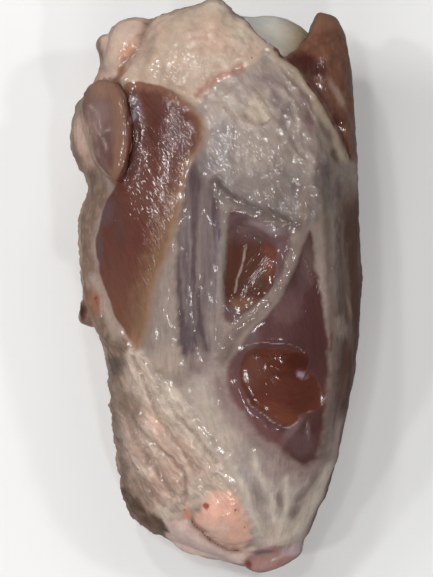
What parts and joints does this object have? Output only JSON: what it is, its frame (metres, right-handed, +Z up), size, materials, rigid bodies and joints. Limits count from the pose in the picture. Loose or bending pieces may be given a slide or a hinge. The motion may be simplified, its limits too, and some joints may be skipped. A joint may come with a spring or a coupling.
{
  "type": "raw pork knuckle",
  "caption": "Raw pork knuckle with the skin off: tapering shank of muscle, silverskin and fat with the bone head showing at the knee, lying on its back.",
  "frame": {"origin": "on the table below the middle of the knuckle's box", "axes": "+Y from the hock to the knee, the longest way; +Z up, from the table to the shown side; +X to the right when seen from above with the knee away"},
  "size_m": [0.1072, 0.2126, 0.0839],
  "materials": {
    "flesh": "wet raw meat: brown-red muscle under silverskin, cream fat and tendon",
    "bone": "smooth bluish-white joint cartilage, wet"
  },
  "bodies": {
    "root": {"flesh": "flesh", "shank_bone": "bone"}
  },
  "joints": []
}
